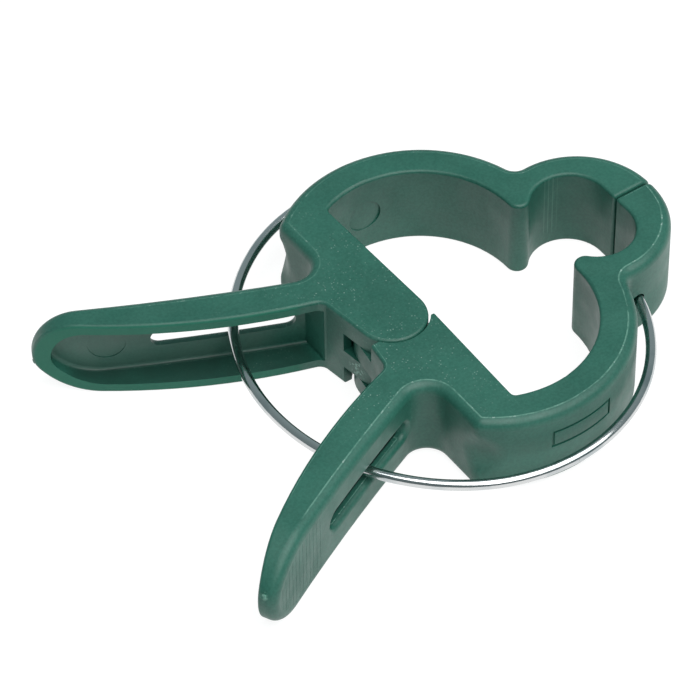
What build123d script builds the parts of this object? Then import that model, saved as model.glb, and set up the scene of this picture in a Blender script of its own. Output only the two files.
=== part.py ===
from build123d import *
import math
import os

# Spring plant clip: two equal moulded arms on a snap hinge, closed by one ring of spring wire.
# Millimetres. The hinge axis is Z through the origin, the clip lies on Z = 0, and +X runs to the jaw tips.
# The left arm is at +Y. The right arm is the same moulding turned over about the X direction.

# Arm: overall moulding
arm_height = 12.8
outer_edge_round = 1.4
inner_edge_round = 0.45

# Arm: hinge with four layers, two of each arm, held by a peg of each tab in the other arm's knuckle
tab_radius = 5.0
layer_gap = 0.1
seat_clearance = 0.3
horn_start_y = 3.2
peg_radius = 2.0
peg_length = 1.9
peg_clearance = 0.05
socket_end_gap = 0.3

# Arm: hub bar between the hinge and the lobes
hub_front_x = 4.45
hub_back_root = (-6.1, 7.3)
hub_end_x = -2.6
hub_front_corner_round = 0.8
hub_end_corner_round = 1.7
hub_back_corner_round = 1.5

# Arm: large lobe, which holds the stake
large_centre = (10.45, 7.7)
large_radius = 14.7
large_wall = 5.1

# Arm: small lobe, which holds the stem, with the nose between the two lobes
small_centre = (32.0, 2.8)
small_radius = 5.5
small_outer_centre = (31.6, 0.35)
small_outer_radius = 12.1
nose_radius = 1.6
jaw_gap = 0.3
notch_round = 1.8
tip_corner_round = 0.4

# Arm: notch between the hub and the handle
crotch_radius = 3.0
crotch_centre_y = 15.9

# Arm: handle, a channel that opens to the inside; lengths along it start at the crotch
handle_root_angle = 157.1
handle_angle = 153.8
handle_length = 35.7
handle_tip_thickness = 2.0
handle_taper = 9.0
handle_tip_radius = 4.0
handle_belly = 5.9
handle_belly_at = 16.1
handle_rim = 1.6
handle_tip_rim = 2.4
handle_web = 1.4
dish_corner_round = 0.5
slot_start = -0.1
slot_length = 19.8
slot_height = 2.8
slot_edge_round = 0.9
grip_count = 12
grip_pitch = 0.95
grip_width = 0.45
grip_depth = 0.012
grip_end_margin = 2.2
grip_side_margin = 0.4
gate_radius = 0.35
gate_length = 0.2
gate_angle = 24.0
gate_from_back = 1.8

# Arm: scoop in the end of the hub, where the opened wire comes close
scoop_radius = 7.25
scoop_depth = 1.9
scoop_angle = 55.0
scoop_before = 3.0
scoop_after = 14.0
scoop_runout_round = 3.0
scoop_runout_per_land = 2.6

# Arm: moulding marks
plate_angle = 87.2
plate_length = 9.9
plate_height = 3.0
plate_drop = 1.6
plate_line = 0.4
plate_depth = 0.22
lobe_mark_angle = 86.0
lobe_mark_radius = 2.5
lobe_mark_depth = 0.06
dish_mark_at = 25.6
dish_mark_radius = 2.6
dish_mark_depth = 0.12

# Ring: one open turn of wire, flatter at the back, with its ends in the walls of the small lobes.
# It lies loose in its holes, close to the left jaw, so its right end slips out of its hole a little.
wire_radius = 0.75
ring_side_radius = 25.4
ring_back_half_angle = 58.2
ring_left_clearance = 0.35
ring_right_clearance = 1.15
wire_end_depth = 2.4
wire_end_angle = 82.1
wire_end_slip = 1.0
wire_end_chamfer = 0.15
wire_hole_clearance = 0.3
wire_hole_end_gap = 0.25
wire_hole_reach = 4.0

# Room that a cut runs past the surface it cuts, and points for measuring the wire
cut_margin = 2.0
path_samples = 400

os.makedirs("parts", exist_ok=True)


def polar(centre, radius, degrees):
    """The point at a bearing and distance from a centre."""
    angle = math.radians(degrees)
    return (centre[0] + radius * math.cos(angle), centre[1] + radius * math.sin(angle))


def bearing(centre, point):
    """The direction from a centre to a point, in degrees."""
    return math.degrees(math.atan2(point[1] - centre[1], point[0] - centre[0]))


def direction(degrees):
    """The level direction with a bearing."""
    return (*polar((0, 0), 1, degrees), 0)


def circles_cross(centre_a, radius_a, centre_b, radius_b):
    """The crossing of two circles that lies on the left of the way from A to B."""
    distance = math.dist(centre_a, centre_b)
    along = (radius_a**2 - radius_b**2 + distance**2) / (2 * distance)
    half_chord = math.sqrt(radius_a**2 - along**2)
    foot = polar(centre_a, along, bearing(centre_a, centre_b))
    return polar(foot, half_chord, bearing(centre_a, centre_b) + 90)


def tangent_point(point, radius, side):
    """Where a line from a point touches a circle about the origin, side +1 on its left or -1 on its right."""
    turn = math.degrees(math.acos(radius / math.hypot(*point)))
    return polar((0, 0), radius, bearing((0, 0), point) + side * turn)


def arc_between(centre, radius, start, end, turn):
    """An arc about a centre from one point to another, turn +1 anticlockwise or -1 clockwise."""
    start_angle = bearing(centre, start)
    sweep_angle = (turn * (bearing(centre, end) - start_angle)) % 360
    return CenterArc(centre, radius, start_angle, turn * sweep_angle)


# Points of the plan that follow from the sizes
layer = arm_height / 4
middle_height = arm_height / 2
large_outer_radius = large_radius + large_wall
contact_y = jaw_gap / 2
hub_front_corner = (
    hub_front_x,
    large_centre[1] + math.sqrt(large_radius**2 - (hub_front_x - large_centre[0]) ** 2),
)
hub_end_corner = (
    hub_end_x,
    large_centre[1] + math.sqrt(large_outer_radius**2 - (hub_end_x - large_centre[0]) ** 2),
)
tab_back = tangent_point(hub_back_root, tab_radius, 1)
tab_front = tangent_point(hub_front_corner, tab_radius, -1)
outer_notch = circles_cross(large_centre, large_outer_radius, small_outer_centre, small_outer_radius)
nose_centre = circles_cross(
    large_centre, large_radius + nose_radius, small_centre, small_radius + nose_radius
)
nose_start = polar(large_centre, large_radius, bearing(large_centre, nose_centre))
nose_end = polar(small_centre, small_radius, bearing(small_centre, nose_centre))
tip_inner = (small_centre[0] + small_radius, contact_y)
tip_outer = (
    small_outer_centre[0] + math.sqrt(small_outer_radius**2 - (contact_y - small_outer_centre[1]) ** 2),
    contact_y,
)
crotch_centre = (hub_end_x - crotch_radius, crotch_centre_y)
crotch_start = (hub_end_x, crotch_centre_y)
crotch_end = polar(crotch_centre, crotch_radius, handle_root_angle + 90)

# The handle's plan: its back is an arc from the crotch, which runs on past the round end
inward = handle_angle + 90
handle_outer_end = polar(crotch_end, handle_length + cut_margin, handle_angle)
handle_inner_end = polar(handle_outer_end, handle_tip_thickness, inward)
handle_inner_middle = polar(polar(crotch_end, handle_belly_at, handle_angle), handle_belly, inward)
handle_end_angle = 2 * handle_angle - handle_root_angle
dish_start = polar(crotch_end, handle_web, handle_root_angle + 90)
dish_end = polar(handle_outer_end, handle_web, handle_end_angle + 90)
dish_corner = (
    hub_back_root[0],
    dish_start[1] + (hub_back_root[0] - dish_start[0]) * math.tan(math.radians(handle_root_angle)),
)

# The handle's tip from its side: a tight arc, and a wide one from there down to the lower edge
handle_tip_drop = middle_height - handle_tip_radius
handle_tip_run = handle_taper - handle_tip_radius
taper_growth = (handle_tip_run**2 + handle_tip_drop**2) / (2 * handle_tip_drop)
handle_tip_turn = math.degrees(math.asin((taper_growth - handle_tip_drop) / taper_growth))

# The handle's side: X along the handle, Y down, Z towards the inside
handle_side = Plane(
    origin=(*crotch_end, middle_height), x_dir=direction(handle_angle), z_dir=direction(inward)
)
with BuildLine() as handle_back_line:
    handle_back = TangentArc(crotch_end, handle_outer_end, tangent=direction(handle_root_angle))


def ring_side(end, clearance):
    """The centre of a side of the ring, from the end of its wire and its clearance to the large lobe."""
    reach = ring_side_radius - large_outer_radius - clearance - wire_radius
    return circles_cross(end, ring_side_radius, large_centre, reach)


# Ring path: its sides clear the large lobes, and its back touches both of them from outside.
# The right side is worked out on a left arm, and then turned over with the right arm.
left_wire_end = polar(small_outer_centre, small_outer_radius - wire_end_depth, wire_end_angle)
ring_left_centre = ring_side(left_wire_end, ring_left_clearance)
left_end_angle = bearing(ring_left_centre, left_wire_end)
right_wire_end = polar(left_wire_end, wire_end_slip, left_end_angle + 90)
right_centre_turned = ring_side(right_wire_end, ring_right_clearance)
right_end_angle = -bearing(right_centre_turned, right_wire_end)
ring_right_centre = (right_centre_turned[0], -right_centre_turned[1])
ring_half_span = math.dist(ring_left_centre, ring_right_centre) / 2
ring_middle = polar(ring_right_centre, ring_half_span, bearing(ring_right_centre, ring_left_centre))
ring_front = bearing(ring_right_centre, ring_left_centre) - 90
back_angle = math.radians(ring_back_half_angle)
ring_back_centre = polar(ring_middle, ring_half_span / math.tan(back_angle), ring_front)
ring_back_radius = ring_side_radius + ring_half_span / math.sin(back_angle)
back_start_angle = ring_front + 180 - ring_back_half_angle
back_end_angle = ring_front + 180 + ring_back_half_angle
hole_reach_angle = math.degrees(wire_hole_reach / ring_side_radius)


def handle_outline(inset, tip_inset):
    """The handle seen from its side, drawn in by an inset, with a tip that is round above and long below."""
    half_height = middle_height - inset
    tip = (handle_length - tip_inset, 0)
    with BuildSketch(handle_side) as outline:
        with BuildLine():
            upper = JernArc(tip, (0, -1), half_height, -90)
            tight = JernArc(tip, (0, 1), handle_tip_radius - inset, handle_tip_turn)
            taper_radius = handle_tip_radius + taper_growth - inset
            lower = JernArc(tight @ 1, tight % 1, taper_radius, 90 - handle_tip_turn)
            Polyline(upper @ 1, (-arm_height, -half_height), (-arm_height, half_height), lower @ 1)
        make_face()
    return outline.sketch


def handle_station(run, depth):
    """A plane at a run along the handle's back and a depth below it: X along the handle, Z inwards."""
    point = handle_back.position_at(run, position_mode=PositionMode.LENGTH)
    along = handle_back.tangent_at(run, position_mode=PositionMode.LENGTH)
    return Plane(
        origin=(point.X, point.Y, middle_height), x_dir=along, z_dir=along.rotate(Axis.Z, 90)
    ).offset(depth)


def wall_plane(centre, radius, degrees, height):
    """A plane that faces outwards on a round wall: X along the wall, Y up."""
    outwards = direction(degrees)
    return Plane(
        origin=(*polar(centre, radius, degrees), height), x_dir=direction(degrees + 90), z_dir=outwards
    )


# Handle blank: the plan, cut to a round end as seen from the side
with BuildPart() as handle_blank:
    with BuildSketch():
        with BuildLine():
            add(handle_back)
            Line(handle_outer_end, handle_inner_end)
            ThreePointArc(handle_inner_end, handle_inner_middle, hub_back_root)
            Line(hub_back_root, crotch_end)
        make_face()
    extrude(amount=arm_height)
    extrude(handle_outline(0, 0), amount=2 * arm_height, both=True, mode=Mode.INTERSECT)

# Hollow of the handle, open to the inside
with BuildPart() as handle_dish:
    with BuildSketch():
        with BuildLine():
            TangentArc(dish_start, dish_end, tangent=direction(handle_root_angle))
            Polyline(
                dish_end,
                polar(dish_end, handle_belly + cut_margin, inward),
                (hub_back_root[0], hub_back_root[1] - cut_margin),
                dish_corner,
                dish_start,
            )
        make_face()
    extrude(amount=arm_height)
    dish_outline = handle_outline(handle_rim, handle_tip_rim)
    extrude(dish_outline, amount=2 * arm_height, both=True, mode=Mode.INTERSECT)
    floor_middle = handle_station(handle_length / 2, handle_web).origin
    fillet(
        [
            handle_dish.edges().sort_by_distance((floor_middle.X, floor_middle.Y, z))[0]
            for z in (handle_rim, arm_height - handle_rim)
        ],
        radius=dish_corner_round,
    )

# Grooves of the finger grip, within the flat of the handle's back
with BuildPart() as grip_grooves:
    for step in range(grip_count):
        with BuildSketch(handle_station(handle_length - grip_end_margin - step * grip_pitch, 0)):
            Rectangle(grip_width, arm_height)
        extrude(amount=grip_depth, both=True)
    grip_inset = outer_edge_round + grip_side_margin
    grip_outline = handle_outline(grip_inset, grip_inset)
    extrude(grip_outline, amount=arm_height, both=True, mode=Mode.INTERSECT)

# Outline of the bare plate on the jaw, as deep as the groove on the round wall
with BuildPart() as plate_groove:
    with BuildSketch(
        wall_plane(
            large_centre, large_outer_radius + cut_margin, plate_angle, middle_height - plate_drop
        )
    ):
        Rectangle(plate_length, plate_height)
        Rectangle(plate_length - 2 * plate_line, plate_height - 2 * plate_line, mode=Mode.SUBTRACT)
    extrude(amount=-2 * cut_margin)
    with BuildSketch():
        with Locations(large_centre):
            Circle(large_outer_radius + cut_margin)
            Circle(large_outer_radius - plate_depth, mode=Mode.SUBTRACT)
    extrude(amount=arm_height, mode=Mode.INTERSECT)

# Left arm
with BuildPart() as left_arm:
    # Jaw and hub, full height, with the hinge disc
    with BuildSketch():
        with BuildLine():
            Line(tip_inner, tip_outer)
            arc_between(small_outer_centre, small_outer_radius, tip_outer, outer_notch, 1)
            arc_between(large_centre, large_outer_radius, outer_notch, hub_end_corner, 1)
            Line(hub_end_corner, crotch_start)
            arc_between(crotch_centre, crotch_radius, crotch_start, crotch_end, -1)
            Polyline(crotch_end, hub_back_root, tab_back)
            arc_between((0, 0), tab_radius, tab_back, tab_front, 1)
            Line(tab_front, hub_front_corner)
            arc_between(large_centre, large_radius, hub_front_corner, nose_start, -1)
            arc_between(nose_centre, nose_radius, nose_start, nose_end, 1)
            arc_between(small_centre, small_radius, nose_end, (tip_inner[0], small_centre[1]), -1)
            Line((tip_inner[0], small_centre[1]), tip_inner)
        jaw_face = make_face()
        for corner, radius in (
            (outer_notch, notch_round),
            (hub_end_corner, hub_end_corner_round),
            (hub_front_corner, hub_front_corner_round),
            (tip_inner, tip_corner_round),
        ):
            nearest = jaw_face.vertices().sort_by_distance((*corner, 0))[0]
            jaw_face = fillet(nearest, radius=radius)
    extrude(amount=arm_height)
    add(handle_blank.part)
    upright_edges = left_arm.edges().filter_by(Axis.Z)
    fillet(upright_edges.sort_by_distance((*hub_back_root, middle_height))[0], radius=hub_back_corner_round)

    # Rounded edges: broad along the outside, narrow along the inside
    outer_marks = (
        polar(small_outer_centre, small_outer_radius, 90),
        polar(large_centre, large_outer_radius, 90),
    )
    inner_marks = (polar(large_centre, large_radius, 90), handle_inner_middle)
    for marks, radius in ((outer_marks, outer_edge_round), (inner_marks, inner_edge_round)):
        edges = left_arm.edges()
        fillet(
            [edges.sort_by_distance((*mark, z))[0] for mark in marks for z in (0, arm_height)],
            radius=radius,
        )

    # Seats for the other arm's two discs, past the horns that stop short of the hinge
    for floor, ceiling in (
        (-cut_margin, layer + layer_gap / 2),
        (layer * 2 - layer_gap / 2, layer * 3 + layer_gap / 2),
    ):
        with BuildSketch(Plane.XY.offset(floor)):
            Circle(tab_radius + seat_clearance)
            with Locations((0, horn_start_y)):
                Rectangle(4 * tab_radius, 3 * tab_radius, align=(Align.CENTER, Align.MAX))
        extrude(amount=ceiling - floor, mode=Mode.SUBTRACT)

    # Peg under the upper tab, and the socket in the knuckle for the other arm's peg
    with BuildSketch(Plane.XY.offset(3 * layer + layer_gap / 2)):
        Circle(peg_radius)
    extrude(amount=-peg_length - layer_gap)
    with BuildSketch(Plane.XY.offset(layer + layer_gap / 2)):
        Circle(peg_radius + peg_clearance)
    extrude(amount=peg_length + socket_end_gap, mode=Mode.SUBTRACT)

    # Scoop in the end of the hub, with a soft runout into the large lobe's wall
    scoop_origin = polar((hub_end_x, hub_end_corner[1] - scoop_depth), -scoop_before, scoop_angle)
    with BuildSketch(
        Plane(
            origin=(*scoop_origin, middle_height),
            x_dir=direction(scoop_angle + 90),
            z_dir=direction(scoop_angle),
        )
    ):
        with Locations((scoop_radius, 0)):
            Circle(scoop_radius)
    extrude(amount=scoop_before + scoop_after, mode=Mode.SUBTRACT)
    # The land of plain wall beside the scoop limits the runout
    scoop_cut = scoop_depth * math.cos(math.radians(scoop_angle))
    scoop_half_height = math.sqrt(scoop_cut * (2 * scoop_radius - scoop_cut))
    scoop_land = middle_height - outer_edge_round - scoop_half_height
    runout = min(scoop_runout_round, scoop_runout_per_land * scoop_land)
    fillet(left_arm.edges(Select.LAST).sort_by(Axis.X)[-1], radius=runout)

    # Handle: hollow, slot for the wire, grip and the stub of the moulding gate
    add(handle_dish.part, mode=Mode.SUBTRACT)
    with BuildSketch(handle_side.offset(-crotch_radius)):
        with Locations((slot_start + slot_length / 2, 0)):
            SlotOverall(slot_length, slot_height)
    extrude(amount=2 * crotch_radius, mode=Mode.SUBTRACT)
    slot_edges = [
        edge
        for edge in left_arm.edges(Select.LAST)
        if handle_side.to_local_coords(edge).center().Z < handle_web / 2
    ]
    fillet(slot_edges, radius=slot_edge_round)
    add(grip_grooves.part, mode=Mode.SUBTRACT)
    gate_place = polar((handle_length - handle_tip_radius, 0), handle_tip_radius - gate_length, gate_angle)
    gate_plane = Plane(
        origin=handle_side.from_local_coords((*gate_place, gate_from_back)),
        z_dir=handle_side.x_dir.rotate(Axis((0, 0, 0), handle_side.z_dir), gate_angle),
    )
    with BuildSketch(gate_plane):
        Circle(gate_radius)
    extrude(amount=2 * gate_length)

    # Blind hole for the end of the wire
    hole_end = polar(left_wire_end, -wire_hole_end_gap, left_end_angle + 90)
    hole_mouth = polar(ring_left_centre, ring_side_radius, left_end_angle + hole_reach_angle)
    with BuildSketch(
        Plane(origin=(*hole_end, middle_height), z_dir=direction(bearing(hole_end, hole_mouth)))
    ):
        Circle(wire_radius + wire_hole_clearance)
    extrude(amount=math.dist(hole_end, hole_mouth), mode=Mode.SUBTRACT)

    # Moulding marks: bare plate on the jaw, ejector pins in the large lobe and in the handle
    add(plate_groove.part, mode=Mode.SUBTRACT)
    with BuildSketch(
        wall_plane(large_centre, large_radius + lobe_mark_depth, lobe_mark_angle, middle_height)
    ):
        Circle(lobe_mark_radius)
    extrude(amount=-lobe_mark_radius, mode=Mode.SUBTRACT)
    with BuildSketch(handle_station(dish_mark_at, handle_web)):
        Circle(dish_mark_radius)
    extrude(amount=dish_mark_depth, both=True, mode=Mode.SUBTRACT)

left_arm.part.label = "left_arm"
export_step(left_arm.part, "parts/left_arm.step")

# Right arm
with BuildPart() as right_arm:
    add(left_arm.part.rotate(Axis((0, 0, middle_height), (1, 0, 0)), 180))

right_arm.part.label = "right_arm"
export_step(right_arm.part, "parts/right_arm.step")

# Spring ring
with BuildPart() as spring_ring:
    with BuildLine(Plane.XY.offset(middle_height)) as ring_path:
        left_turn = back_start_angle - left_end_angle
        right_turn = (right_end_angle - back_end_angle) % 360
        CenterArc(ring_left_centre, ring_side_radius, left_end_angle, left_turn)
        CenterArc(ring_back_centre, ring_back_radius, back_start_angle, 2 * ring_back_half_angle)
        CenterArc(ring_right_centre, ring_side_radius, back_end_angle, right_turn)
    wire_path = ring_path.wire()
    with BuildSketch(Plane(origin=wire_path @ 0, z_dir=wire_path % 0)):
        Circle(wire_radius)
    sweep(path=wire_path)
    chamfer(spring_ring.edges().filter_by(GeomType.CIRCLE).group_by(Axis.X)[-1], wire_end_chamfer)

spring_ring.part.label = "spring_ring"
export_step(spring_ring.part, "parts/spring_ring.step")

# The ring's least gap to itself, between points that are more than a quarter of the wire apart
path_points = [wire_path.position_at(step / path_samples) for step in range(path_samples + 1)]
least_gap = min(
    (first - second).length - 2 * wire_radius
    for index, first in enumerate(path_points)
    for second in path_points[index + path_samples // 4 :]
)
print("wire length", round(wire_path.length, 2), "least gap of the ring to itself", round(least_gap, 2))
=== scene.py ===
import math

import bpy
from mathutils import Matrix, Vector


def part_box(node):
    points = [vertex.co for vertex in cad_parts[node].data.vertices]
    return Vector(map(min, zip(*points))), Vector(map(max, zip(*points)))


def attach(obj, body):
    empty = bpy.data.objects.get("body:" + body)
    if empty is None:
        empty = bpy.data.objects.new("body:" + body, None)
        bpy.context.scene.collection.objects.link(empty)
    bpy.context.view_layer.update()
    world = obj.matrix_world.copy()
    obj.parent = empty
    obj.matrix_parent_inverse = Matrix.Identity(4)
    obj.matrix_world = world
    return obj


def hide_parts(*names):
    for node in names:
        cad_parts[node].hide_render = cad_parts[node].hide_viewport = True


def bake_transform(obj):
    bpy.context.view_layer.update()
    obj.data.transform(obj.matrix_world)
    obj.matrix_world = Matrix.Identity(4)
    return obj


# Spring plant clip on a white table. Metres, in the frame of the solids: hinge axis on Z, jaws to +X.

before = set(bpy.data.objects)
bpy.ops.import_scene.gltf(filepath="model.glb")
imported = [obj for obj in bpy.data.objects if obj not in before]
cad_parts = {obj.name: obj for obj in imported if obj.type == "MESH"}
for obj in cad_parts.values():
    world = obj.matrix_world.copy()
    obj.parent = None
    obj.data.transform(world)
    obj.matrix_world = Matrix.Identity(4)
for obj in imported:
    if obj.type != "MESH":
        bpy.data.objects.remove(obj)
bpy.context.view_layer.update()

MM = 0.001
ARM_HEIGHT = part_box("left_arm")[1].z
MIDDLE_HEIGHT = ARM_HEIGHT / 2

# Camera: the photograph's angle and framing
IMAGE_SIZE = 700
SENSOR_WIDTH = 36.0
FOCAL_PIXELS = 4460.7
CAMERA_AZIMUTH = math.radians(-34.72)
CAMERA_ELEVATION = math.radians(46.63)
CAMERA_ROLL = math.radians(-0.78)
CAMERA_DISTANCE = 0.592
HINGE_IN_IMAGE = (390.96, 313.97)

# Table and light: a soft box above, towards the camera's right, in a dim bluish room
TABLE_SIZE = 4.0
TABLE_BOUNCE = 0.92
TABLE_SHADED_SHARE = 0.2
TABLE_GLOW = 0.9
SOFT_BOX_SIZE = 1.0
SOFT_BOX_PLACE = (0.09, -0.31, 0.8)
SOFT_BOX_POWER = 10.2
ROOM_FAR = 0.38
ROOM_NEAR = 0.18
ROOM_TINT = (0.76, 0.97, 1.0, 1)

# Ring: three arcs of wire in the clip's middle plane, and its ends in the walls of the small lobes
WIRE_RADIUS = 0.75 * MM
RING_SIDE_RADIUS = 25.4 * MM
RING_BACK_HALF_ANGLE = math.radians(58.2)
RING_LEFT_CENTRE = Vector((8.305, 3.744)) * MM
RING_RIGHT_CENTRE = Vector((8.009, -4.919)) * MM
LEFT_WIRE_END = Vector((32.933, 9.958)) * MM
RIGHT_WIRE_END = Vector((32.689, -10.928)) * MM
WIRE_STEP = 0.8 * MM
WIRE_SIDES = 24
WIRE_SHARP_ANGLE = math.radians(40)

# Moulded plastic: colours
GREEN_DEEP = (0.010, 0.086, 0.060, 1)
GREEN_FRESH = (0.024, 0.130, 0.093, 1)
GREEN_SHADED = (0.010, 0.045, 0.033, 1)
# Painted light: a lighter, more saturated green painted on the channel's rim, where it shows less
# reflection.
PAINTED_RIM_LIGHT = (0.024, 0.155, 0.100, 1)
WORN_GREEN = (0.16, 0.34, 0.27, 1)
DUST = (0.42, 0.56, 0.51, 1)
# Painted sheen: a paler grey-green painted on the channel's floor in place of the table's reflection and
# bounce light.
PAINTED_SHEEN_COLOUR = (0.105, 0.165, 0.14, 1)

# Below, a PATTERN is the scale and the detail of a noise. The values of a ramp are where it begins and
# ends, and then, where they aren't 0 and 1, what it gives there.

# Wear: pale rounded edges, off the inner edges of the lobes and the handle's tip
EDGE_BEGINS = (0.9999, 0.9985)
EDGE_ENDS = (0.984, 0.994)
WEAR_PATTERN = (900, 4)
WEAR_BREAKS = (0.30, 0.56, 0.25, 1.0)
WEAR_LEFT = 0.2
WEAR_RIGHT = 0.55
NICK_PATTERN = (1500, 3)
NICK_BREAKS = (0.60, 0.68)
NICKS_LEFT = 0.2
NICKS_RIGHT = 0.5
TIP_START = -30.5 * MM
TIP_FADE = 2 * MM
LARGE_LOBE = Vector((10.45, 7.7, 0)) * MM
LARGE_LOBE_WORN_FROM = 17 * MM
SMALL_LOBE = Vector((32.0, 2.8, 0)) * MM
SMALL_LOBE_WORN_FROM = 6.6 * MM
LOBE_FADE = 0.8 * MM
HUB_FADE = 1 * MM

# Dust: single specks in clusters, most of it on top and near the hinge
DUST_SCALE = 2900.0
DUST_SPECK = (0.38, 0.06)
DUST_CHOSEN = (0.55, 1.0)
DUST_PATTERN = (150, 3)
DUST_CLUSTERS = (0.40, 0.62, 0.15, 1.0)
DUSTY_REACH = 30 * MM
DUSTY_CORE = 10 * MM
DUST_SETTLED = (0.9, 0.99, 0.3, 1.0)
DUST_SHARE = 0.55

# Handle's channel: painted sheen on the floor, painted light on the rim and painted shade on the lower
# flange
HANDLE_START = -8 * MM
HANDLE_FADE = 2 * MM
HANDLE_INWARDS = (-0.4415, -0.8973, 0)
FACING_INWARDS = (0.3, 0.8)
FACING_UP = (0.5, 0.9)
# The noise that breaks up the painted sheen on the channel's floor and the painted shade on its lower
# flange.
PAINTED_LIGHT_PATTERN = (200, 3)
CHANNEL_FLOOR_END = -6.7 * MM
PAINTED_SHEEN_FLOOR_FADE = 0.5 * MM
PAINTED_SHEEN_RUN_FADE = 5 * MM
PAINTED_SHEEN_BREAKS = (0.3, 0.7, 0.5, 1.0)
PAINTED_SHEEN_SHARE = 0.4
RIM_BEGINS = CHANNEL_FLOOR_END + 0.3 * MM
RIM_FULL = CHANNEL_FLOOR_END + 0.8 * MM
RIM_LIGHT_SHARE = 0.7
RIM_GLOSS = (0.0, 1.0, 0.5, 0.2)
LOWER_FLANGE = (4 * MM, 2.5 * MM)
SHADE_BREAKS = (0.3, 0.7, 0.5, 0.8)

# Marks: the gate's scar, a scuff behind the hinge and the tool's lines in the small lobes
GATE_PLACE = Vector((-39.29, 27.13, 4.77)) * MM
SCAR_REACH = (0.75 * MM, 0.35 * MM)
SCAR_PATTERN = (1500, 2)
SCAR_BREAKS = (0.35, 0.6)
SCAR_SHARE = 0.9
SCUFF_PLACE = Vector((-4.9, 0.6, 4.8)) * MM
SCUFF_REACH = (1.9 * MM, 0.8 * MM)
SCUFF_PATTERN = (2200, 2)
SCUFF_BREAKS = (0.50, 0.62)
SCUFF_SHARE = 0.9
TOOL_LINES_START = 31.6 * MM
TOOL_LINES_END = 33.9 * MM
TOOL_LINES_INNER = 7.4 * MM
TOOL_LINES_OUTER = 8.6 * MM
TOOL_LINES_SIDE_FADE = 0.1 * MM
TOOL_LINES_RISE = (1.5 * MM, 3.5 * MM)
TOOL_LINES_WALL = (0.5, 0.2)
TOOL_LINES_SHARE = 0.25
TOOL_LINE_PITCH = 0.66 * MM
TOOL_LINE_FADE = TOOL_LINE_PITCH / 3
TOOL_LINE_CREST = (0.4, 1.0)

# Body of the plastic: mottled colour, satin sheen and a fine grain on slow waves
MOTTLE_PATTERN = (120, 5)
SPECKLE_PATTERN = (2600, 3)
MOTTLE_HALF = (0.3, 0.7, 0.0, 0.5)
SHEEN_PATTERN = (300, 3)
PLASTIC_ROUGHNESS = (0.3, 0.7, 0.40, 0.50)
WAVE_PATTERN = (260, 2)
WAVE_DEPTH = 0.05 * MM
WAVE_STRENGTH = 0.5
GRAIN_PATTERN = (3500, 2)
GRAIN_DEPTH = 0.015 * MM
GRAIN_STRENGTH = 0.35

# Zinc on the wire
ZINC_BRIGHT = (0.62, 0.63, 0.63, 1)
ZINC_DULL = (0.45, 0.49, 0.50, 1)
ZINC_PATTERN = (180, 4)
ZINC_PATCHES = (0.45, 0.72)
ZINC_ROUGHNESS = (0.3, 0.7, 0.09, 0.17)
DRAWN_STRETCH = 60.0
DRAWN_PATTERN = (14, 3)
DRAWN_DEPTH = 0.01 * MM
DRAWN_STRENGTH = 0.2


class Graph:
    """The nodes of one material. Each call adds a node and returns the socket that it gives."""

    def __init__(self, name):
        self.material = bpy.data.materials.new(name)
        self.material.use_nodes = True
        self.tree = self.material.node_tree
        self.shader = self.tree.nodes["Principled BSDF"]

    def fill(self, socket, value):
        """Put a value, or a link from another node, into a socket."""
        if isinstance(value, bpy.types.NodeSocket):
            self.tree.links.new(value, socket)
        else:
            socket.default_value = value

    def finish(self, **inputs):
        """Fill the shader's own sockets, named with _ for a space."""
        for name, value in inputs.items():
            self.fill(self.shader.inputs[name.replace("_", " ")], value)
        return self.material

    def add(self, kind, inputs, output=0, **settings):
        node = self.tree.nodes.new(kind)
        for name, value in settings.items():
            setattr(node, name, value)
        for key, value in inputs.items():
            self.fill(node.inputs[key], value)
        return node.outputs[output]

    def coordinates(self, space):
        return self.add("ShaderNodeTexCoord", {}, space)

    def part(self, vector, axis):
        return self.add("ShaderNodeSeparateXYZ", {"Vector": vector}, axis)

    def math(self, operation, first, second=0.0):
        return self.add("ShaderNodeMath", {0: first, 1: second}, operation=operation)

    def product(self, *factors):
        result = factors[0]
        for factor in factors[1:]:
            result = self.math("MULTIPLY", result, factor)
        return result

    def ramp(self, value, low, high, start=0.0, end=1.0):
        """A smooth step from start to end while the value goes from low to high."""
        places = {"Value": value, "From Min": low, "From Max": high, "To Min": start, "To Max": end}
        return self.add("ShaderNodeMapRange", places, interpolation_type="SMOOTHSTEP")

    def noise(self, vector, pattern):
        scale, detail = pattern
        return self.add("ShaderNodeTexNoise", {"Vector": vector, "Scale": scale, "Detail": detail})

    def distance(self, vector, point):
        return self.add("ShaderNodeVectorMath", {0: vector, 1: point}, "Value", operation="DISTANCE")

    def mix(self, share, first, second):
        return self.add("ShaderNodeMix", {0: share, 6: first, 7: second}, 2, data_type="RGBA")

    def bump(self, height, distance, strength, normal=None):
        inputs = {"Height": height, "Distance": distance, "Strength": strength}
        if normal is not None:
            inputs["Normal"] = normal
        return self.add("ShaderNodeBump", inputs)


def grey(level):
    return (level, level, level, 1)


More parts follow.
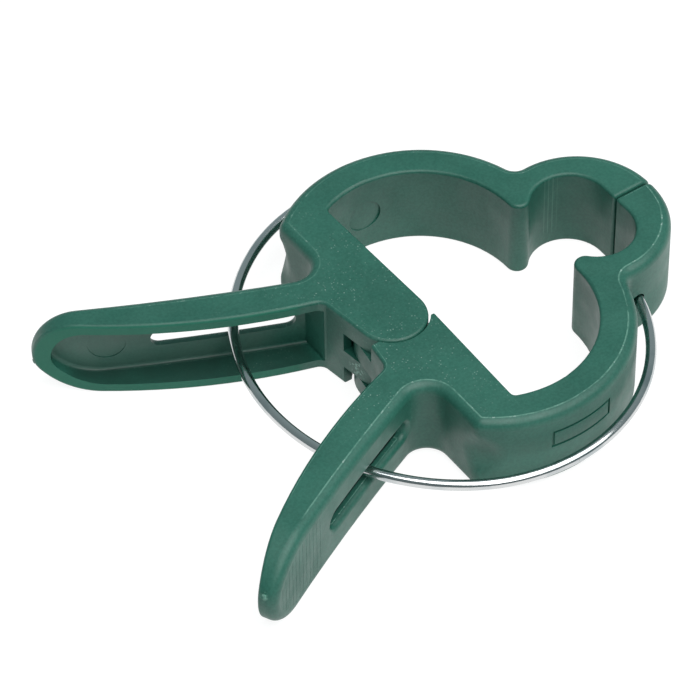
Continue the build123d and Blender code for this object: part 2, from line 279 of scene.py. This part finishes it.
def make_camera():
    """The camera, placed so that the top of the hinge falls on its place in the image."""
    back = Vector(
        (
            math.sin(CAMERA_AZIMUTH) * math.cos(CAMERA_ELEVATION),
            -math.cos(CAMERA_AZIMUTH) * math.cos(CAMERA_ELEVATION),
            math.sin(CAMERA_ELEVATION),
        )
    )
    level = Vector((math.cos(CAMERA_AZIMUTH), math.sin(CAMERA_AZIMUTH), 0))
    right = Matrix.Rotation(CAMERA_ROLL, 3, back) @ level
    up = back.cross(right)
    metres_per_pixel = CAMERA_DISTANCE / FOCAL_PIXELS
    across = (IMAGE_SIZE / 2 - HINGE_IN_IMAGE[0]) * metres_per_pixel
    upwards = (HINGE_IN_IMAGE[1] - IMAGE_SIZE / 2) * metres_per_pixel
    place = Vector((0, 0, ARM_HEIGHT)) + back * CAMERA_DISTANCE + right * across + up * upwards
    camera = bpy.data.objects.new("camera", bpy.data.cameras.new("camera"))
    bpy.context.scene.collection.objects.link(camera)
    camera.data.sensor_width = SENSOR_WIDTH
    camera.data.lens = FOCAL_PIXELS * SENSOR_WIDTH / IMAGE_SIZE
    rotation = Matrix((right, up, back)).transposed()
    camera.matrix_world = Matrix.Translation(place) @ rotation.to_4x4()
    bpy.context.scene.camera = camera


def make_table():
    """A white table: a plain bounce for the light, and white with a faint shadow where it is seen."""
    half = TABLE_SIZE / 2
    mesh = bpy.data.meshes.new("table")
    corners = [(-half, -half, 0), (half, -half, 0), (half, half, 0), (-half, half, 0)]
    mesh.from_pydata(corners, [], [(0, 1, 2, 3)])
    table = bpy.data.objects.new("table", mesh)
    bpy.context.scene.collection.objects.link(table)
    graph = Graph("table_white")
    tree = graph.tree
    tree.nodes.remove(graph.shader)
    bounce = graph.add("ShaderNodeBsdfDiffuse", {"Color": grey(TABLE_BOUNCE)})
    shaded = graph.add("ShaderNodeBsdfDiffuse", {"Color": grey(TABLE_SHADED_SHARE)})
    glow = graph.add("ShaderNodeEmission", {"Color": grey(1), "Strength": TABLE_GLOW})
    seen = graph.add("ShaderNodeAddShader", {0: shaded, 1: glow})
    ray = tree.nodes.new("ShaderNodeLightPath").outputs
    looks = graph.math("MAXIMUM", ray["Is Camera Ray"], ray["Is Glossy Ray"])
    looks = graph.math("MAXIMUM", looks, ray["Is Transmission Ray"])
    surface = graph.add("ShaderNodeMixShader", {0: looks, 1: bounce, 2: seen})
    tree.links.new(surface, tree.nodes["Material Output"].inputs["Surface"])
    mesh.materials.append(graph.material)


def make_light():
    """The soft box, and the room's dim light, which grows away from the camera's side."""
    lamp = bpy.data.lights.new("soft_box", "AREA")
    lamp.size = SOFT_BOX_SIZE
    lamp.energy = SOFT_BOX_POWER
    soft_box = bpy.data.objects.new("soft_box", lamp)
    soft_box.location = SOFT_BOX_PLACE
    soft_box.rotation_euler = Vector(SOFT_BOX_PLACE).to_track_quat("Z", "Y").to_euler()
    bpy.context.scene.collection.objects.link(soft_box)
    world = bpy.data.worlds.new("room")
    world.use_nodes = True
    tree = world.node_tree
    view = tree.nodes.new("ShaderNodeTexCoord")
    nearness = tree.nodes.new("ShaderNodeVectorMath")
    nearness.operation = "DOT_PRODUCT"
    nearness.inputs[1].default_value = (math.sin(CAMERA_AZIMUTH), -math.cos(CAMERA_AZIMUTH), 0)
    level = tree.nodes.new("ShaderNodeMapRange")
    level.inputs["From Min"].default_value = -1
    level.inputs["From Max"].default_value = 1
    level.inputs["To Min"].default_value = ROOM_FAR
    level.inputs["To Max"].default_value = ROOM_NEAR
    tree.links.new(view.outputs["Generated"], nearness.inputs[0])
    tree.links.new(nearness.outputs["Value"], level.inputs["Value"])
    tree.links.new(level.outputs["Result"], tree.nodes["Background"].inputs["Strength"])
    tree.nodes["Background"].inputs["Color"].default_value = ROOM_TINT
    bpy.context.scene.world = world


class Plastic(Graph):
    """Green moulded plastic of one arm. The turned arm's marks lie across the middle plane."""

    def __init__(self, name, turned):
        super().__init__(name)
        self.turned = turned
        self.side = -1 if turned else 1
        self.place = self.coordinates("Object")
        self.run = self.part(self.place, "X")
        self.height = self.part(self.place, "Z")
        mirror = {0: self.place, 1: (1, self.side, 0)}
        self.plan = self.add("ShaderNodeVectorMath", mirror, operation="MULTIPLY")
        normal = self.coordinates("Normal")
        self.facing = self.part(normal, "Z")
        self.upright = self.math("ABSOLUTE", self.facing)
        self.inwards = self.math("MULTIPLY", self.part(normal, "Y"), -self.side)

    def broken(self, pattern, breaks):
        """A noise, cut to patches by a ramp."""
        return self.ramp(self.noise(self.place, pattern), *breaks)

    def beyond(self, centre, radius):
        """Where the plan is further than a radius from a lobe's centre."""
        return self.ramp(self.distance(self.plan, centre), radius, radius + LOBE_FADE)

    def worn_edges(self):
        """The outer rounded edges, behind the hinge and round the lobes, up to the handle's tip."""
        edge = self.product(self.ramp(self.upright, *EDGE_BEGINS), self.ramp(self.upright, *EDGE_ENDS))
        behind = self.ramp(self.run, HUB_FADE, -HUB_FADE)
        off_large = self.math("MAXIMUM", self.beyond(LARGE_LOBE, LARGE_LOBE_WORN_FROM), behind)
        off_small = self.beyond(SMALL_LOBE, SMALL_LOBE_WORN_FROM)
        before_tip = self.ramp(self.run, TIP_START, TIP_START + TIP_FADE)
        return self.product(edge, off_large, off_small, before_tip)

    def dust(self):
        cells = self.tree.nodes.new("ShaderNodeTexVoronoi")
        self.fill(cells.inputs["Vector"], self.place)
        self.fill(cells.inputs["Scale"], DUST_SCALE)
        hinge_top = (0, 0, ARM_HEIGHT)
        return self.product(
            self.ramp(cells.outputs["Distance"], *DUST_SPECK),
            self.ramp(self.part(cells.outputs["Color"], "X"), *DUST_CHOSEN),
            self.broken(DUST_PATTERN, DUST_CLUSTERS),
            self.ramp(self.distance(self.place, hinge_top), DUSTY_REACH, DUSTY_CORE),
            self.ramp(self.facing, *DUST_SETTLED),
            DUST_SHARE,
        )

    def channel_depth(self):
        inputs = {0: self.plan, 1: HANDLE_INWARDS}
        return self.add("ShaderNodeVectorMath", inputs, "Value", operation="DOT_PRODUCT")

    def painted_sheen(self):
        """Painted sheen: the channel's floor painted paler and greyer, standing in for the table's
        reflection and bounce light.
        """
        return self.product(
            self.ramp(self.inwards, *FACING_INWARDS),
            self.ramp(self.channel_depth(), CHANNEL_FLOOR_END + PAINTED_SHEEN_FLOOR_FADE, CHANNEL_FLOOR_END),
            self.ramp(self.run, HANDLE_START, HANDLE_START - PAINTED_SHEEN_RUN_FADE),
            self.broken(PAINTED_LIGHT_PATTERN, PAINTED_SHEEN_BREAKS),
            PAINTED_SHEEN_SHARE,
        )

    def rim(self):
        """The edge of the channel's walls, where a lighter green is painted on as light and the specular
        level is lowered.
        """
        return self.product(
            self.ramp(self.inwards, *FACING_INWARDS),
            self.ramp(self.channel_depth(), RIM_BEGINS, RIM_FULL),
            self.ramp(self.run, HANDLE_START, HANDLE_START - HANDLE_FADE),
        )

    def shaded(self):
        """The top of the channel's lower flange."""
        return self.product(
            self.ramp(self.facing, *FACING_UP),
            self.ramp(self.height, *LOWER_FLANGE),
            self.ramp(self.run, HANDLE_START + HANDLE_FADE, HANDLE_START),
            self.broken(PAINTED_LIGHT_PATTERN, SHADE_BREAKS),
        )

    def mark(self, centre, reach, pattern, breaks, share):
        """A broken pale patch round a point."""
        near = self.ramp(self.distance(self.place, centre), *reach)
        return self.product(near, self.broken(pattern, breaks), share)

    def gate_scar(self):
        height = ARM_HEIGHT - GATE_PLACE.z if self.turned else GATE_PLACE.z
        centre = (GATE_PLACE.x, self.side * GATE_PLACE.y, height)
        return self.mark(centre, SCAR_REACH, SCAR_PATTERN, SCAR_BREAKS, SCAR_SHARE)

    def tool_lines(self):
        """Fine upright lines on the inner wall of the small lobe."""
        out = self.math("ABSOLUTE", self.part(self.place, "Y"))
        wave = self.math("SINE", self.math("MULTIPLY", self.run, 2 * math.pi / TOOL_LINE_PITCH))
        return self.product(
            self.ramp(wave, *TOOL_LINE_CREST),
            self.ramp(self.run, TOOL_LINES_START, TOOL_LINES_START + TOOL_LINE_FADE),
            self.ramp(self.run, TOOL_LINES_END, TOOL_LINES_END - TOOL_LINE_FADE),
            self.ramp(out, TOOL_LINES_INNER, TOOL_LINES_INNER + TOOL_LINES_SIDE_FADE),
            self.ramp(out, TOOL_LINES_OUTER, TOOL_LINES_OUTER - TOOL_LINES_SIDE_FADE),
            self.ramp(self.height, *TOOL_LINES_RISE),
            self.ramp(self.upright, *TOOL_LINES_WALL),
            TOOL_LINES_SHARE,
        )


def plastic(name, turned):
    """Satin green, faintly mottled, with pale worn edges, dust and marks, and painted light and shade in
    the handle's channel.
    """
    graph = Plastic(name, turned)
    edges = graph.worn_edges()
    wear_share, nick_share = (WEAR_RIGHT, NICKS_RIGHT) if turned else (WEAR_LEFT, NICKS_LEFT)
    wear = graph.product(edges, graph.broken(WEAR_PATTERN, WEAR_BREAKS), wear_share)
    nicks = graph.product(edges, graph.broken(NICK_PATTERN, NICK_BREAKS), nick_share)
    scuff = graph.mark(SCUFF_PLACE, SCUFF_REACH, SCUFF_PATTERN, SCUFF_BREAKS, SCUFF_SHARE)
    pale = wear
    for mark in (graph.gate_scar(), graph.tool_lines(), scuff):
        pale = graph.math("MAXIMUM", pale, mark)

    mottle = graph.broken(MOTTLE_PATTERN, MOTTLE_HALF)
    speckle = graph.broken(SPECKLE_PATTERN, MOTTLE_HALF)
    rim = graph.rim()
    colour = graph.mix(graph.math("ADD", mottle, speckle), GREEN_DEEP, GREEN_FRESH)
    # Over the mottled green: the rim's painted light, the lower flange's painted shade and the floor's
    # painted sheen, then the pale wear and marks, and dust with nicks.
    for share, paint in (
        (graph.product(rim, RIM_LIGHT_SHARE), PAINTED_RIM_LIGHT),
        (graph.shaded(), GREEN_SHADED),
        (graph.painted_sheen(), PAINTED_SHEEN_COLOUR),
        (pale, WORN_GREEN),
        (graph.math("MAXIMUM", graph.dust(), nicks), DUST),
    ):
        colour = graph.mix(share, colour, paint)

    normal = graph.bump(graph.noise(graph.place, WAVE_PATTERN), WAVE_DEPTH, WAVE_STRENGTH)
    normal = graph.bump(graph.noise(graph.place, GRAIN_PATTERN), GRAIN_DEPTH, GRAIN_STRENGTH, normal)
    return graph.finish(
        Base_Color=colour,
        Roughness=graph.broken(SHEEN_PATTERN, PLASTIC_ROUGHNESS),
        Specular_IOR_Level=graph.ramp(rim, *RIM_GLOSS),
        Normal=normal,
    )


def zinc(name):
    """Bright zinc on drawn wire: fine lines along it, a bluish cast and duller patches."""
    graph = Graph(name)
    along = graph.part(graph.coordinates("UV"), "X")
    turn = graph.math("MULTIPLY", graph.part(graph.coordinates("UV"), "Y"), 2 * math.pi)
    drawn = {
        "X": graph.math("MULTIPLY", along, DRAWN_STRETCH),
        "Y": graph.math("COSINE", turn),
        "Z": graph.math("SINE", turn),
    }
    lines = graph.noise(graph.add("ShaderNodeCombineXYZ", drawn), DRAWN_PATTERN)
    patches = graph.ramp(graph.noise(graph.coordinates("Object"), ZINC_PATTERN), *ZINC_PATCHES)
    return graph.finish(
        Base_Color=graph.mix(patches, ZINC_BRIGHT, ZINC_DULL),
        Metallic=1.0,
        Roughness=graph.ramp(lines, *ZINC_ROUGHNESS),
        Normal=graph.bump(lines, DRAWN_DEPTH, DRAWN_STRENGTH),
    )


def arc(centre, radius, start, end):
    """Points in the middle plane on an arc from one angle to another, a wire step apart."""
    count = math.ceil(abs(end - start) * radius / WIRE_STEP)
    points = []
    for step in range(count + 1):
        angle = start + (end - start) * step / count
        x = centre.x + radius * math.cos(angle)
        y = centre.y + radius * math.sin(angle)
        points.append(Vector((x, y, MIDDLE_HEIGHT)))
    return points


def tube(name, path, material):
    """A round wire along a level path, closed at both ends, with its length and turn as UV."""
    mesh = bpy.data.meshes.new(name)
    points, faces, lengths = [], [], [0.0]
    for index, point in enumerate(path):
        before, after = path[max(index - 1, 0)], path[min(index + 1, len(path) - 1)]
        outwards = (after - before).cross(Vector((0, 0, 1))).normalized()
        for side in range(WIRE_SIDES):
            turn = 2 * math.pi * side / WIRE_SIDES
            spoke = outwards * math.cos(turn) + Vector((0, 0, math.sin(turn)))
            points.append(point + WIRE_RADIUS * spoke)
        if index:
            lengths.append(lengths[-1] + (point - path[index - 1]).length)
            first, last = (index - 1) * WIRE_SIDES, index * WIRE_SIDES
            for side in range(WIRE_SIDES):
                beside = (side + 1) % WIRE_SIDES
                faces.append((first + side, last + side, last + beside, first + beside))
    faces.append(tuple(range(WIRE_SIDES)))
    faces.append(tuple(reversed(range(len(points) - WIRE_SIDES, len(points)))))
    mesh.from_pydata(points, [], faces)
    layer = mesh.uv_layers.new(name="wire")
    for face in mesh.polygons:
        wraps = len(face.vertices) == 4 and {v % WIRE_SIDES for v in face.vertices} == {0, WIRE_SIDES - 1}
        for loop in face.loop_indices:
            vertex = mesh.loops[loop].vertex_index
            turn = vertex % WIRE_SIDES
            share = 1.0 if wraps and turn == 0 else turn / WIRE_SIDES
            layer.data[loop].uv = (lengths[vertex // WIRE_SIDES], share)
    mesh.polygons.foreach_set("use_smooth", [True] * len(mesh.polygons))
    mesh.set_sharp_from_angle(angle=WIRE_SHARP_ANGLE)
    mesh.materials.append(material)
    wire = bpy.data.objects.new(name, mesh)
    bpy.context.scene.collection.objects.link(wire)
    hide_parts("spring_ring")
    return wire


def make_ring():
    """The ring in three lengths: each side rides with its jaw, and the back lies fixed between them."""
    material = zinc("zinc")
    span = RING_LEFT_CENTRE - RING_RIGHT_CENTRE
    front = Vector((span.y, -span.x)).normalized()
    half_span = span.length / 2
    middle = (RING_LEFT_CENTRE + RING_RIGHT_CENTRE) / 2
    back_centre = middle + front * half_span / math.tan(RING_BACK_HALF_ANGLE)
    back_radius = RING_SIDE_RADIUS + half_span / math.sin(RING_BACK_HALF_ANGLE)
    backwards = math.atan2(front.y, front.x) + math.pi
    back_start = backwards - RING_BACK_HALF_ANGLE
    back_end = backwards + RING_BACK_HALF_ANGLE
    left_end = math.atan2(*(LEFT_WIRE_END - RING_LEFT_CENTRE).yx)
    right_end = math.atan2(*(RIGHT_WIRE_END - RING_RIGHT_CENTRE).yx) + 2 * math.pi
    left_top = math.pi / 2
    right_top = 3 * math.pi / 2

    left = tube("ring_left", arc(RING_LEFT_CENTRE, RING_SIDE_RADIUS, left_end, left_top), material)
    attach(left, "left_arm")
    right = tube("ring_right", arc(RING_RIGHT_CENTRE, RING_SIDE_RADIUS, right_top, right_end), material)
    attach(right, "right_arm")
    path = arc(RING_LEFT_CENTRE, RING_SIDE_RADIUS, left_top, back_start)
    path += arc(back_centre, back_radius, back_start, back_end)[1:]
    path += arc(RING_RIGHT_CENTRE, RING_SIDE_RADIUS, back_end, right_top)[1:]
    back = tube("ring_back", path, material)
    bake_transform(back)


make_camera()
make_table()
make_light()
for name, turned in (("left_arm", False), ("right_arm", True)):
    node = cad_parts[name]
    node.data.materials.clear()
    node.data.materials.append(plastic(name + "_plastic", turned))
make_ring()
bpy.context.scene.view_settings.view_transform = "Standard"
